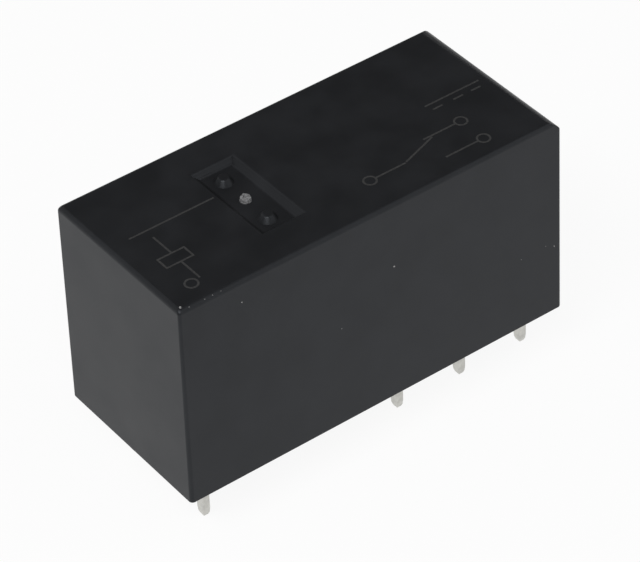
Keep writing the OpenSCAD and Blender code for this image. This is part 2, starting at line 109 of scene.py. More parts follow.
class RelayCaseSizes(bpy.types.PropertyGroup):
    """Sizes of the moulded case."""

    length: distance("Length", "Length of the case at its rim", CASE_HIGH.x - CASE_LOW.x)
    width: distance("Width", "Width of the case at its rim", CASE_HIGH.y - CASE_LOW.y)
    rim: distance("Rim", "Height of the rim above the board", CASE_LOW.z)
    top: distance("Top", "Height of the top face above the board", CASE_HIGH.z)
    wall: distance("Wall", "Thickness of the walls", 0.75 * MM)
    edge: distance("Edge radius", "Rounding of the top's edges, apart from the contact end's", 0.35 * MM)
    end_drop: distance("End drop", "Height of the slope along the top edge at the contact end", 0.82 * MM)
    end_run: distance("End run", "Length of that slope along the case", 0.47 * MM)
    end_edge: distance("End curve", "How far that slope's curve reaches along the top face", 0.75 * MM)
    end_foot: distance("End foot", "Rounding where that slope meets the wall", 0.12 * MM)
    corner: distance("Corner radius", "Rounding of the coil end's upright edges at the top", 0.2 * MM)
    corner_foot: distance("Corner foot", "Rounding of the coil end's upright edges at the rim", 0.28 * MM)
    end_corner: distance("End corner", "Rounding of the contact end's upright edges at the top", 0.17 * MM)
    end_corner_foot: distance("End corner foot", "Rounding of the contact end's upright edges at the rim",
                              0.28 * MM)
    corner_steps: count("Corner steps", "Flats of the rounded upright edges", 8)
    rim_edge: distance("Rim radius", "Rounding of the outer edge of the rim", 0.08 * MM)
    lean_end: distance("End lean", "How far each end leans in at the top", 0.2 * MM)
    lean_side: distance("Side lean", "How far each long side leans in at the top", 0.05 * MM)
    edge_steps: count("Edge steps", "Segments of the top's rounded edges", 10)


class RelayPocketSizes(bpy.types.PropertyGroup):
    """Sizes of the pocket in the top, with its pips and gate."""

    middle: distance("Middle", "Place of the pocket along the case", -4.75 * MM)
    length: distance("Length", "Length of the pocket's mouth along the case", 3.05 * MM)
    width: distance("Width", "Width of the pocket's mouth across the case", 7.1 * MM)
    depth: distance("Depth", "Depth of the pocket", 0.45 * MM)
    lean_end: distance("End lean", "How far each end of the pocket leans in at its floor", 0.25 * MM)
    lean_side: distance("Side lean", "How far each long side of the pocket leans in at its floor",
                        0.31 * MM)
    edge: distance("Edge radius", "Rounding of the pocket's edges", 0.19 * MM)
    pip_height: distance("Pip height", "Height of the two pips", 0.42 * MM)
    pip_diameter: distance("Pip diameter", "Diameter of a pip at its top", 0.66 * MM)
    pip_flare: distance("Pip flare", "How much wider a pip is at its foot", 0.6 * MM)
    pip_edge: distance("Pip edge", "Rounding of a pip's upper edge", 0.1 * MM)
    pip_pitch: distance("Pip pitch", "Distance between the pips", 4.45 * MM)
    pip_shift: distance("Pip shift", "How far pips and gate are from the middle, towards the coil end",
                        0.15 * MM)
    gate_diameter: distance("Gate diameter", "Diameter of the broken-off gate", 0.7 * MM)
    gate_height: distance("Gate height", "Height of the broken-off gate", 0.26 * MM)


class RelayPinSizes(bpy.types.PropertyGroup):
    """Sizes of the pins below the board surface."""

    coil_length: distance("Coil pins", "Length of the coil pins below the board surface", 3.83 * MM)
    contact_length: distance("Contact pins", "Length of the contact pins below the board surface", 3.5 * MM)
    tip: distance("Tip", "Height of a pin's tapered tip", 0.6 * MM)


class RelayMarkSizes(bpy.types.PropertyGroup):
    """Sizes of the marked lines."""

    line: distance("Line", "Width of a marked line", 0.13 * MM)
    depth: distance("Film", "Thickness of the marked film", 0.008 * MM)


class RelayColours(bpy.types.PropertyGroup):
    """Colours of what shows from outside, and of the floor."""

    plastic: colour("Plastic", "Black of the moulded case", (0.0138, 0.0143, 0.0158))
    plastic_sheen: colour("Sheen", "Tint of the case's reflections", (0.86, 0.92, 1.0))
    marks: colour("Marks", "Grey of the marked lines", (0.037, 0.037, 0.037))
    stub: colour("Stub", "Grey of the broken plastic", (0.19, 0.19, 0.195))
    tin: colour("Tin", "Dull tin on the pins", (0.58, 0.575, 0.54))
    floor: colour("Floor", "Pale floor of the studio", (0.95, 0.95, 0.95))


class RelayStageSizes(bpy.types.PropertyGroup):
    """Floor, lens, lamps and room."""

    floor_size: distance("Floor", "Side of the floor", 4.0)
    lens: FloatProperty(name="Lens", description="Focal length of the camera", default=198.99,
                        unit="CAMERA")
    key: power("Key", "Power of the small lamp over the camera", 1.3)
    left_panel: power("Left panel", "Power of the left panel", 0.5)
    right_panel: power("Right panel", "Power of the right panel", 0.85)
    room: FloatProperty(name="Room", description="Brightness of the room round the set", default=0.12)


# Finishes

class Finish:
    """A node material on one Principled shader, with helpers that read Object coordinates."""

    NOISE_LOW, NOISE_HIGH = 0.3, 0.7

    def __init__(self, name, metallic=0.0, ior=1.5, specular=0.5):
        self.material = bpy.data.materials.new(name)
        self.material.use_nodes = True
        self.tree = self.material.node_tree
        self.shader = self.tree.nodes["Principled BSDF"]
        self.shader.inputs["Metallic"].default_value = metallic
        self.shader.inputs["IOR"].default_value = ior
        self.shader.inputs["Specular IOR Level"].default_value = specular
        self.coords = self.tree.nodes.new("ShaderNodeTexCoord").outputs["Object"]

    def node(self, kind, **settings):
        """A new node with some of its settings."""
        made = self.tree.nodes.new(kind)
        for key, value in settings.items():
            setattr(made, key, value)
        return made

    def stretched(self, scale):
        """Object coordinates scaled by axis."""
        mapping = self.node("ShaderNodeMapping")
        mapping.inputs["Scale"].default_value = scale
        self.tree.links.new(self.coords, mapping.inputs["Vector"])
        return mapping.outputs["Vector"]

    def noise(self, scale, detail=2.0, rough=0.5, coords=None):
        """Noise with a grain of about 1 / scale metres."""
        made = self.node("ShaderNodeTexNoise")
        made.inputs["Scale"].default_value = scale
        made.inputs["Detail"].default_value = detail
        made.inputs["Roughness"].default_value = rough
        self.tree.links.new(coords or self.coords, made.inputs["Vector"])
        return made.outputs["Fac"]

    def bands(self, scale, direction, distortion=0.0):
        """Parallel bands across an axis, closer together at a larger scale."""
        made = self.node("ShaderNodeTexWave", wave_type="BANDS", bands_direction=direction)
        made.inputs["Scale"].default_value = scale
        made.inputs["Distortion"].default_value = distortion
        self.tree.links.new(self.coords, made.inputs["Vector"])
        return made.outputs["Fac"]

    def tint(self, value, dark, light, low=0.35, high=0.65):
        """Base colour that runs from dark to light with a value."""
        ramp = self.node("ShaderNodeValToRGB")
        first, last = ramp.color_ramp.elements
        first.position, last.position = low, high
        first.color, last.color = (*dark, 1.0), (*light, 1.0)
        self.tree.links.new(value, ramp.inputs["Fac"])
        self.tree.links.new(ramp.outputs["Color"], self.shader.inputs["Base Color"])

    def gloss(self, value, smooth, rough):
        """Roughness that runs from smooth to rough with a value."""
        spread = self.node("ShaderNodeMapRange")
        spread.inputs["From Min"].default_value = self.NOISE_LOW
        spread.inputs["From Max"].default_value = self.NOISE_HIGH
        spread.inputs["To Min"].default_value = smooth
        spread.inputs["To Max"].default_value = rough
        self.tree.links.new(value, spread.inputs["Value"])
        self.tree.links.new(spread.outputs["Result"], self.shader.inputs["Roughness"])

    def relief(self, value, height, strength=1.0):
        """Bump of a height in metres. A second call adds to the first."""
        bump = self.node("ShaderNodeBump")
        bump.inputs["Strength"].default_value = strength
        bump.inputs["Distance"].default_value = height
        self.tree.links.new(value, bump.inputs["Height"])
        before = self.shader.inputs["Normal"].links
        if before:
            self.tree.links.new(before[0].from_socket, bump.inputs["Normal"])
        self.tree.links.new(bump.outputs["Normal"], self.shader.inputs["Normal"])


def shade(value, factor):
    """A colour times a factor."""
    return tuple(channel * factor for channel in value)


def moulded_black(colours):
    """Black plastic with the fine grain of a spark-eroded mould."""
    finish = Finish("moulded_black", specular=0.245)
    finish.shader.inputs["Specular Tint"].default_value = (*colours.plastic_sheen, 1.0)
    grain = finish.noise(scale=14000, detail=2.0)
    cloud = finish.noise(scale=320, detail=3.0)
    finish.tint(cloud, dark=shade(colours.plastic, 0.85), light=shade(colours.plastic, 1.2))
    finish.gloss(cloud, smooth=0.36, rough=0.44)
    finish.relief(grain, height=4e-6, strength=0.35)
    return finish.material


def marked_grey(colours):
    """Dim grey film of the marked lines, a little uneven."""
    finish = Finish("marked_grey")
    patch = finish.noise(scale=9000, detail=3.0)
    finish.tint(patch, dark=shade(colours.marks, 0.75), light=shade(colours.marks, 1.15))
    finish.gloss(patch, smooth=0.55, rough=0.7)
    return finish.material


def broken_plastic(colours):
    """Pale, torn face of a broken-off gate."""
    finish = Finish("broken_plastic")
    tear = finish.noise(scale=9000, detail=4.0, rough=0.65)
    finish.tint(tear, dark=shade(colours.stub, 0.45), light=shade(colours.stub, 1.35))
    finish.gloss(tear, smooth=0.55, rough=0.75)
    finish.relief(tear, height=2e-5, strength=0.8)
    return finish.material


def fleck_grey():
    """Pale grey of small flecks on the plastic, and of the pale dot that paints a highlight on the near top
    corner.
    """
    finish = Finish("fleck_grey")
    patch = finish.noise(scale=20000, detail=2.0)
    finish.tint(patch, dark=(0.16, 0.16, 0.16), light=(0.42, 0.42, 0.41))
    finish.gloss(patch, smooth=0.5, rough=0.65)
    return finish.material


def dull_tin(colours):
    """Tinned copper, drawn lengthways, with soft cloudy patches."""
    finish = Finish("dull_tin", metallic=1.0)
    cloud = finish.noise(scale=2600, detail=3.0)
    drawn = finish.noise(scale=1.0, detail=3.0, coords=finish.stretched(scale=(26000, 26000, 1500)))
    finish.tint(cloud, dark=shade(colours.tin, 0.86), light=shade(colours.tin, 1.1))
    finish.gloss(cloud, smooth=0.3, rough=0.46)
    finish.relief(drawn, height=3e-6, strength=0.5)
    return finish.material


def cast_resin():
    """Glossy black potting resin with a slow ripple."""
    finish = Finish("cast_resin", ior=1.55)
    ripple = finish.noise(scale=420, detail=1.0)
    cloud = finish.noise(scale=900, detail=3.0)
    finish.tint(cloud, dark=(0.006, 0.006, 0.0065), light=(0.012, 0.0115, 0.0115))
    finish.gloss(cloud, smooth=0.12, rough=0.24)
    finish.relief(ripple, height=5e-5, strength=0.5)
    return finish.material


def base_black():
    """Dull black moulded floor and feet."""
    finish = Finish("base_black")
    grain = finish.noise(scale=9000, detail=2.0)
    cloud = finish.noise(scale=500, detail=2.0)
    finish.tint(cloud, dark=(0.009, 0.009, 0.01), light=(0.015, 0.015, 0.016))
    finish.gloss(cloud, smooth=0.45, rough=0.58)
    finish.relief(grain, height=5e-6, strength=0.5)
    return finish.material


def natural_plastic():
    """Uncoloured moulded plastic of bobbin and card."""
    finish = Finish("natural_plastic")
    cloud = finish.noise(scale=600, detail=3.0)
    grain = finish.noise(scale=8000, detail=2.0)
    finish.tint(cloud, dark=(0.62, 0.57, 0.46), light=(0.74, 0.7, 0.6))
    finish.gloss(cloud, smooth=0.42, rough=0.55)
    finish.relief(grain, height=4e-6, strength=0.5)
    return finish.material


def wound_copper():
    """Enamelled copper wire in close turns along the coil."""
    finish = Finish("wound_copper", metallic=1.0)
    turns = finish.bands(scale=2300, direction="X", distortion=0.4)
    cloud = finish.noise(scale=700, detail=3.0)
    finish.tint(cloud, dark=(0.36, 0.11, 0.035), light=(0.56, 0.2, 0.07))
    finish.gloss(cloud, smooth=0.26, rough=0.4)
    finish.relief(turns, height=4e-5, strength=0.9)
    return finish.material


def plated_iron():
    """Zinc-plated soft iron with a faint rolling direction."""
    finish = Finish("plated_iron", metallic=1.0)
    rolled = finish.noise(scale=1.0, detail=3.0, coords=finish.stretched(scale=(900, 900, 14000)))
    cloud = finish.noise(scale=800, detail=3.0)
    finish.tint(cloud, dark=(0.4, 0.41, 0.43), light=(0.52, 0.53, 0.55))
    finish.gloss(cloud, smooth=0.3, rough=0.45)
    finish.relief(rolled, height=4e-6, strength=0.6)
    return finish.material


def spring_bronze():
    """Rolled bronze strip."""
    finish = Finish("spring_bronze", metallic=1.0)
    rolled = finish.noise(scale=1.0, detail=3.0, coords=finish.stretched(scale=(15000, 15000, 800)))
    cloud = finish.noise(scale=900, detail=2.0)
    finish.tint(cloud, dark=(0.55, 0.32, 0.12), light=(0.68, 0.43, 0.19))
    finish.gloss(cloud, smooth=0.22, rough=0.36)
    finish.relief(rolled, height=2e-6, strength=0.6)
    return finish.material


def rivet_brass():
    """Plain brass of the rivets."""
    finish = Finish("rivet_brass", metallic=1.0)
    cloud = finish.noise(scale=3000, detail=3.0)
    finish.tint(cloud, dark=(0.5, 0.38, 0.17), light=(0.64, 0.52, 0.27))
    finish.gloss(cloud, smooth=0.25, rough=0.4)
    finish.relief(cloud, height=6e-6, strength=0.5)
    return finish.material


def contact_silver():
    """Silver alloy of the contacts, slightly clouded."""
    finish = Finish("contact_silver", metallic=1.0)
    cloud = finish.noise(scale=2500, detail=3.0)
    finish.tint(cloud, dark=(0.62, 0.61, 0.58), light=(0.82, 0.82, 0.8))
    finish.gloss(cloud, smooth=0.2, rough=0.36)
    finish.relief(cloud, height=4e-6, strength=0.4)
    return finish.material


# Mesh helpers, in millimetres

def in_mm(value):
    """A length of the sidebar, in millimetres."""
    return value / MM


def edges_of(bm, wanted):
    """The edges whose both ends pass a test."""
    return [e for e in bm.edges if all(wanted(v.co) for v in e.verts)]


def round_edges(bm, edges, radius, steps):
    """Rounds edges with a radius, or less where there is no room for it."""
    bmesh.ops.bevel(bm, geom=edges, offset=radius, offset_type="OFFSET", segments=steps, profile=0.5,
                    affect="EDGES", material=-1, clamp_overlap=True)


def plane_off(bm, place, away):
    """Cuts a solid back to a plane that looks away from it, and closes the cut."""
    whole = [*bm.verts, *bm.edges, *bm.faces]
    cut = bmesh.ops.bisect_plane(bm, geom=whole, dist=CUT_SLACK, clear_outer=True, plane_co=place,
                                 plane_no=away)["geom_cut"]
    bmesh.ops.edgeloop_fill(bm, edges=[e for e in cut if isinstance(e, bmesh.types.BMEdge)])


def flat_faces(bm, direction, level):
    """The faces that look along a direction, at a level along it."""
    return [f for f in bm.faces if f.normal.dot(direction) > SQUARE
            and abs(f.calc_center_median().dot(direction) - level) < TOUCH]


def flat_face(bm, direction, level):
    """The largest face that looks along a direction, at a level along it."""
    return max(flat_faces(bm, direction, level), key=lambda f: f.calc_area())


def push(bm, face, offset):
    """Extrudes a face along an offset and returns the moved face."""
    moved = bmesh.ops.extrude_discrete_faces(bm, faces=[face])["faces"][0]
    bmesh.ops.translate(bm, vec=offset, verts=moved.verts)
    return moved


def finish_piece(bm, name, material, smooth=True, weighted=True):
    """Scales a bmesh to metres and makes a piece of the housing from it."""
    bmesh.ops.scale(bm, vec=(MM, MM, MM), verts=bm.verts)
    for face in bm.faces:
        face.smooth = smooth
    for edge in bm.edges:
        edge.smooth = edge.calc_face_angle(0.0) < SHARP
    mesh = bpy.data.meshes.new(name)
    bm.to_mesh(mesh)
    bm.free()
    mesh.materials.append(material)
    piece = bpy.data.objects.new(name, mesh)
    bpy.context.scene.collection.objects.link(piece)
    if weighted:
        evened = piece.modifiers.new("Even shading", "WEIGHTED_NORMAL")
        evened.keep_sharp = True
    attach(piece, BODY)
    return piece


def dress(material, *nodes):
    """Gives CAD nodes a finish."""
    for name in nodes:
        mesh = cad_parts[name].data
        mesh.materials.clear()
        mesh.materials.append(material)


# Pieces

class RELAY_OT_case(bpy.types.Operator):
    """Build the moulded case: leaning walls, rounded edges, top pocket and open underside"""

    bl_idname = "relay.case"
    bl_label = "Case"

    # Segments of the smaller roundings
    FOOT_SEGMENTS = 4
    CREASE_SEGMENTS = 4
    RIM_SEGMENTS = 3
    POCKET_SEGMENTS = 6

    # Slack of the tests that pick edges, in millimetres
    FOOT_SLACK = 0.05
    CREASE_SLACK = 0.03
    CREASE_END = 0.015
    LEVEL_SLACK = 0.01

    # Inset that makes the pocket's face, before its corners go to their places
    FIRST_INSET = 1.0

    def execute(self, context):
        sizes, pocket = context.scene.relay_case, context.scene.relay_pocket
        bm = bmesh.new()
        self.shell(bm, sizes)
        self.sink_pocket(bm, sizes, pocket)
        self.hollow(bm, sizes, pocket)
        piece = finish_piece(bm, "case_shell", moulded_black(context.scene.relay_colours))
        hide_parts("case")
        return {"FINISHED"}

    def shell(self, bm, sizes):
        """Block with leaning walls and rounded edges."""
        length, width = in_mm(sizes.length), in_mm(sizes.width)
        rim, top = in_mm(sizes.rim), in_mm(sizes.top)
        bmesh.ops.create_cube(bm, size=1.0)
        bmesh.ops.scale(bm, vec=(length, width, top - rim), verts=bm.verts)
        bmesh.ops.translate(bm, vec=(0, 0, (top + rim) / 2), verts=bm.verts)
        upper = [v for v in bm.verts if v.co.z > (top + rim) / 2]
        slim = (1 - 2 * in_mm(sizes.lean_end) / length, 1 - 2 * in_mm(sizes.lean_side) / width, 1)
        bmesh.ops.scale(bm, vec=slim, verts=upper)
        low, high = rim + TOUCH, top - TOUCH
        brows = [e for e in edges_of(bm, lambda co: co.z > high) if any(v.co.x < 0 for v in e.verts)]
        round_edges(bm, brows, in_mm(sizes.edge), sizes.edge_steps)
        self.slope_end(bm, sizes)
        round_edges(bm, self.slope_foot(bm, sizes), in_mm(sizes.end_foot), self.FOOT_SEGMENTS)
        round_edges(bm, self.coil_corners(bm, sizes), in_mm(sizes.corner), self.CREASE_SEGMENTS)
        self.plane_uprights(bm, sizes, -1, in_mm(sizes.corner), in_mm(sizes.corner_foot))
        self.plane_uprights(bm, sizes, 1, in_mm(sizes.end_corner), in_mm(sizes.end_corner_foot))
        rim_edges = edges_of(bm, lambda co: co.z < low)
        round_edges(bm, rim_edges, in_mm(sizes.rim_edge), self.RIM_SEGMENTS)
        bmesh.ops.recalc_face_normals(bm, faces=bm.faces)

    def slope_end(self, bm, sizes):
        """Planes off the top edge of the contact end, to a slope that curves into the top face."""
        drop, run, reach = in_mm(sizes.end_drop), in_mm(sizes.end_run), in_mm(sizes.end_edge)
        steepest = math.atan2(drop, run)
        radius = reach / math.tan(steepest / 2)
        end = in_mm(sizes.length / 2 - sizes.lean_end)
        middle = Vector((end - run - reach, 0, in_mm(sizes.top) - radius))
        for step in range(1, sizes.edge_steps + 1):
            tilt = steepest * step / sizes.edge_steps
            away = Vector((math.sin(tilt), 0, math.cos(tilt)))
            plane_off(bm, middle + away * radius, away)

    def plane_uprights(self, bm, sizes, end, top_radius, foot_radius):
        """Planes the upright edges of one end round, in flats. End -1 is the coil's, 1 the contacts'."""
        half_l, half_w = in_mm(sizes.length) / 2, in_mm(sizes.width) / 2
        lean_l, lean_w = in_mm(sizes.lean_end), in_mm(sizes.lean_side)
        for side in (-1, 1):
            corner = Vector((end, side, 0))
            foot = Vector((end * half_l, side * half_w, in_mm(sizes.rim)))
            head = Vector((end * (half_l - lean_l), side * (half_w - lean_w), in_mm(sizes.top)))
            for step in range(1, sizes.corner_steps):
                turn = math.pi / 2 * step / sizes.corner_steps
                away = Vector((end * math.cos(turn), side * math.sin(turn), 0))
                across = Vector((end * math.sin(turn), -side * math.cos(turn), 0))
                low = foot + (away - corner) * foot_radius
                high = head + (away - corner) * top_radius
                flat = across.cross(high - low).normalized()
                plane_off(bm, low, flat if flat.dot(away) > 0 else -flat)

    def slope_foot(self, bm, sizes):
        """The edge where the slope at the contact end meets the wall."""
        level = in_mm(sizes.top - sizes.end_drop)
        found = edges_of(bm, lambda co: co.x > 0 and abs(co.z - level) < self.FOOT_SLACK)
        return [e for e in found if abs(e.verts[0].co.y - e.verts[1].co.y) > LONG]

    def coil_corners(self, bm, sizes):
        """The upright edges at the coil end, with the creases that carry them on to the top."""
        half_l, half_w = in_mm(sizes.length / 2 - sizes.lean_end), in_mm(sizes.width / 2 - sizes.lean_side)
        slack = in_mm(sizes.lean_end)

        def at_crease(co):
            along, across = co.x + half_l, half_w - abs(co.y)
            below_top = co.z < in_mm(sizes.top) - self.CREASE_END
            return -slack < along - across < self.CREASE_SLACK and below_top

        uprights = [e for e in bm.edges if e.verts[0].co.x < 0
                    and abs(e.verts[0].co.z - e.verts[1].co.z) > LONG]
        found = {*edges_of(bm, at_crease), *uprights}
        return [e for e in found if e.verts[0].co.y * e.verts[1].co.y > 0]

    def sink_pocket(self, bm, sizes, pocket):
        """Rectangular pocket in the top face, with leaning sides and soft edges."""
        top, depth = in_mm(sizes.top), in_mm(pocket.depth)
        half_l, half_w = in_mm(pocket.length) / 2, in_mm(pocket.width) / 2
        face = flat_face(bm, Vector((0, 0, 1)), top)
        bmesh.ops.inset_region(bm, faces=[face], thickness=self.FIRST_INSET)
        centre = face.calc_center_median()
        for v in face.verts:
            v.co.x = in_mm(pocket.middle) + math.copysign(half_l, v.co.x - centre.x)
            v.co.y = math.copysign(half_w, v.co.y - centre.y)
        floor = push(bm, face, (0, 0, -depth))
        for v in floor.verts:
            v.co.x -= math.copysign(in_mm(pocket.lean_side), v.co.x - in_mm(pocket.middle))
            v.co.y -= math.copysign(in_mm(pocket.lean_end), v.co.y)
        walls = {f for e in floor.edges for f in e.link_faces}
        level = {e for f in walls for e in f.edges
                 if abs(e.verts[0].co.z - e.verts[1].co.z) < self.LEVEL_SLACK}
        round_edges(bm, list(level), in_mm(pocket.edge), self.POCKET_SEGMENTS)

    def hollow(self, bm, sizes, pocket):
        """Inside of the case, with the block that the pocket makes in its ceiling."""
        rim, wall = in_mm(sizes.rim), in_mm(sizes.wall)
        ceiling_z = in_mm(sizes.top) - wall
        down = Vector((0, 0, -1))
        face = flat_face(bm, down, -rim)
        spans = [max(v.co[axis] for v in face.verts) for axis in (0, 1)]
        inside = in_mm(sizes.length) / 2 - wall, in_mm(sizes.width) / 2 - wall
        bmesh.ops.inset_region(bm, faces=[face], thickness=0.0)
        bmesh.ops.scale(bm, vec=(inside[0] / spans[0], inside[1] / spans[1], 1), verts=face.verts)
        push(bm, face, (0, 0, ceiling_z - rim))
        middle = in_mm(pocket.middle)
        half_l, half_w = in_mm(pocket.length) / 2 + wall, in_mm(pocket.width) / 2 + wall
        cuts = [((middle - half_l, 0, 0), (1, 0, 0)), ((middle + half_l, 0, 0), (1, 0, 0)),
                ((0, -half_w, 0), (0, 1, 0)), ((0, half_w, 0), (0, 1, 0))]
        for place, normal in cuts:
            parts = flat_faces(bm, down, -ceiling_z)
            edges, verts = {e for f in parts for e in f.edges}, {v for f in parts for v in f.verts}
            bmesh.ops.bisect_plane(bm, geom=[*parts, *edges, *verts], plane_co=place, plane_no=normal,
                                   dist=CUT_SLACK)
        centre = Vector((middle, 0, ceiling_z))
        block = min(flat_faces(bm, down, -ceiling_z), key=lambda f: (f.calc_center_median() - centre).length)
        push(bm, block, (0, 0, -in_mm(pocket.depth)))


class RELAY_OT_pocket_trim(bpy.types.Operator):
    """Build the two pips in the pocket and the broken-off gate between them"""

    bl_idname = "relay.pocket_trim"
    bl_label = "Pips and gate"

    PIP_SIDES = 40
    PIP_SEGMENTS = 5
    TOP_SLACK = 0.01

    # Foot, face and rings of the gate are shares of its radius
    GATE_SIDES = 28
    GATE_FOOT, GATE_FACE = 1.08, 0.95
    TEAR_RINGS, TEAR_RING = 5, 0.16

    # Coarse and fine lumps to a millimetre, and shares of the gate's height
    LUMP_GRAIN, FINE_GRAIN, FINE_SHARE = 5.0, 13.0, 0.5
    LUMP_RISE, LUMP_DROP = 0.3, 0.1

    def execute(self, context):
        case, pocket = context.scene.relay_case, context.scene.relay_pocket
        colours = context.scene.relay_colours
        floor = in_mm(case.top - pocket.depth)
        middle = in_mm(pocket.middle - pocket.pip_shift)
        self.pips(pocket, middle, floor)
        self.gate(pocket, colours, middle, floor)
        return {"FINISHED"}

    def pips(self, pocket, middle, floor):
        """Round pips that widen to the foot, with a rounded upper edge."""
        radius, height = in_mm(pocket.pip_diameter) / 2, in_mm(pocket.pip_height)
        foot = radius + in_mm(pocket.pip_flare) / 2
        bm = bmesh.new()
        for side in (-1, 1):
            place = Matrix.Translation((middle, side * in_mm(pocket.pip_pitch) / 2, floor + height / 2))
            bmesh.ops.create_cone(bm, cap_ends=True, segments=self.PIP_SIDES, radius1=foot, radius2=radius,
                                  depth=height, matrix=place)
        top = floor + height - self.TOP_SLACK
        round_edges(bm, edges_of(bm, lambda co: co.z > top), in_mm(pocket.pip_edge), self.PIP_SEGMENTS)
        finish_piece(bm, "pocket_pips", bpy.data.materials["moulded_black"])

    def gate(self, pocket, colours, middle, floor):
        """Short stub whose torn face stands up in lumps."""
        radius, height = in_mm(pocket.gate_diameter) / 2, in_mm(pocket.gate_height)
        place = Matrix.Translation((middle, 0, floor + height / 2))
        bm = bmesh.new()
        bmesh.ops.create_cone(bm, cap_ends=True, segments=self.GATE_SIDES, radius1=radius * self.GATE_FOOT,
                              radius2=radius * self.GATE_FACE, depth=height, matrix=place)
        torn = flat_face(bm, Vector((0, 0, 1)), floor + height)
        for _ in range(self.TEAR_RINGS):
            bmesh.ops.inset_region(bm, faces=[torn], thickness=radius * self.TEAR_RING)
        for v in bm.verts:
            if v.co.z > floor + height / 2:
                lump = noise.noise(v.co * self.LUMP_GRAIN)
                lump += self.FINE_SHARE * noise.noise(v.co * self.FINE_GRAIN)
                v.co.z += self.LUMP_RISE * height * lump - self.LUMP_DROP * height
        finish_piece(bm, "gate_stub", broken_plastic(colours))


class RELAY_OT_top_marks(bpy.types.Operator):
    """Lay the thin grey lines on the top: divider, coil and contact symbols, direct-current sign"""

    bl_idname = "relay.top_marks"
    bl_label = "Top marks"

    # Places along and across the case, in millimetres
    DIVIDER = ((-12.66, 0.93), (-6.54, 0.93))
    COIL_LEADS = (((-11.45, 0.19), (-11.45, -1.63)), ((-11.45, -2.72), (-11.45, -4.53)))
    COIL_BOX = ((-12.52, -2.72), (-10.51, -1.63))
    COIL_END = (-12.14, -4.67)
    CONTACT_ENDS = ((1.6, -3.7), (9.4, -2.6), (9.4, -4.8))
    CONTACT_LEADS = (((2.07, -3.7), (4.3, -3.7)), ((6.5, -2.6), (8.93, -2.6)), ((6.5, -4.8), (8.93, -4.8)))
    CONTACT_ARM = ((4.36, -3.66), (7.1, -2.72))
    END_RADIUS = 0.47
    END_SIDES = 40
    DC_LINE = ((8.61, -0.09), (12.82, -0.09))
    DC_DASHES = (9.19, 10.78, 12.17)
    DC_DASH_Y = -0.63
    DC_DASH = 0.75

    def execute(self, context):
        sizes = context.scene.relay_marks
        self.line = in_mm(sizes.line)
        self.low = in_mm(context.scene.relay_case.top)
        self.film = in_mm(sizes.depth)
        dashes = [((x - self.DC_DASH / 2, self.DC_DASH_Y), (x + self.DC_DASH / 2, self.DC_DASH_Y))
                  for x in self.DC_DASHES]
        bm = bmesh.new()
        for line in (self.DIVIDER, *self.COIL_LEADS, *self.CONTACT_LEADS, self.CONTACT_ARM, self.DC_LINE,
                     *dashes):
            self.stroke(bm, *line)
        self.box(bm, *self.COIL_BOX)
        for end in (self.COIL_END, *self.CONTACT_ENDS):
            self.ring(bm, *end)
        grey = marked_grey(context.scene.relay_colours)
        finish_piece(bm, "top_marks", grey, smooth=False, weighted=False)
        return {"FINISHED"}

    def stroke(self, bm, start, end):
        """Flat line with square ends."""
        start, end = Vector(start), Vector(end)
        along = end - start
        middle = (start + end) / 2
        place = (Matrix.Translation((middle.x, middle.y, self.low + self.film / 2))
                 @ Matrix.Rotation(math.atan2(along.y, along.x), 4, "Z")
                 @ Matrix.Diagonal((along.length, self.line, self.film, 1)))
        bmesh.ops.create_cube(bm, size=1.0, matrix=place)

    def box(self, bm, low, high):
        """Outline of a rectangle."""
        low, high = Vector(low), Vector(high)
        middle, size = (low + high) / 2, high - low
        place = Matrix.Translation((middle.x, middle.y, self.low)) @ Matrix.Diagonal((size.x, size.y, 1, 1))
        made = bmesh.ops.create_grid(bm, x_segments=1, y_segments=1, size=0.5, matrix=place)
        self.outline(bm, made["verts"][0].link_faces[0])

    def ring(self, bm, x, y):
        """Small open circle."""
        made = bmesh.ops.create_circle(bm, cap_ends=True, segments=self.END_SIDES, radius=self.END_RADIUS,
                                       matrix=Matrix.Translation((x, y, self.low)))
        self.outline(bm, made["verts"][0].link_faces[0])

    def outline(self, bm, face):
        """Turns a flat face into a raised line round its edge."""
        rim = bmesh.ops.inset_region(bm, faces=[face], thickness=self.line, use_boundary=True,
                                     use_even_offset=True)["faces"]
        bmesh.ops.delete(bm, geom=[face], context="FACES_ONLY")
        bmesh.ops.solidify(bm, geom=rim, thickness=-self.film)


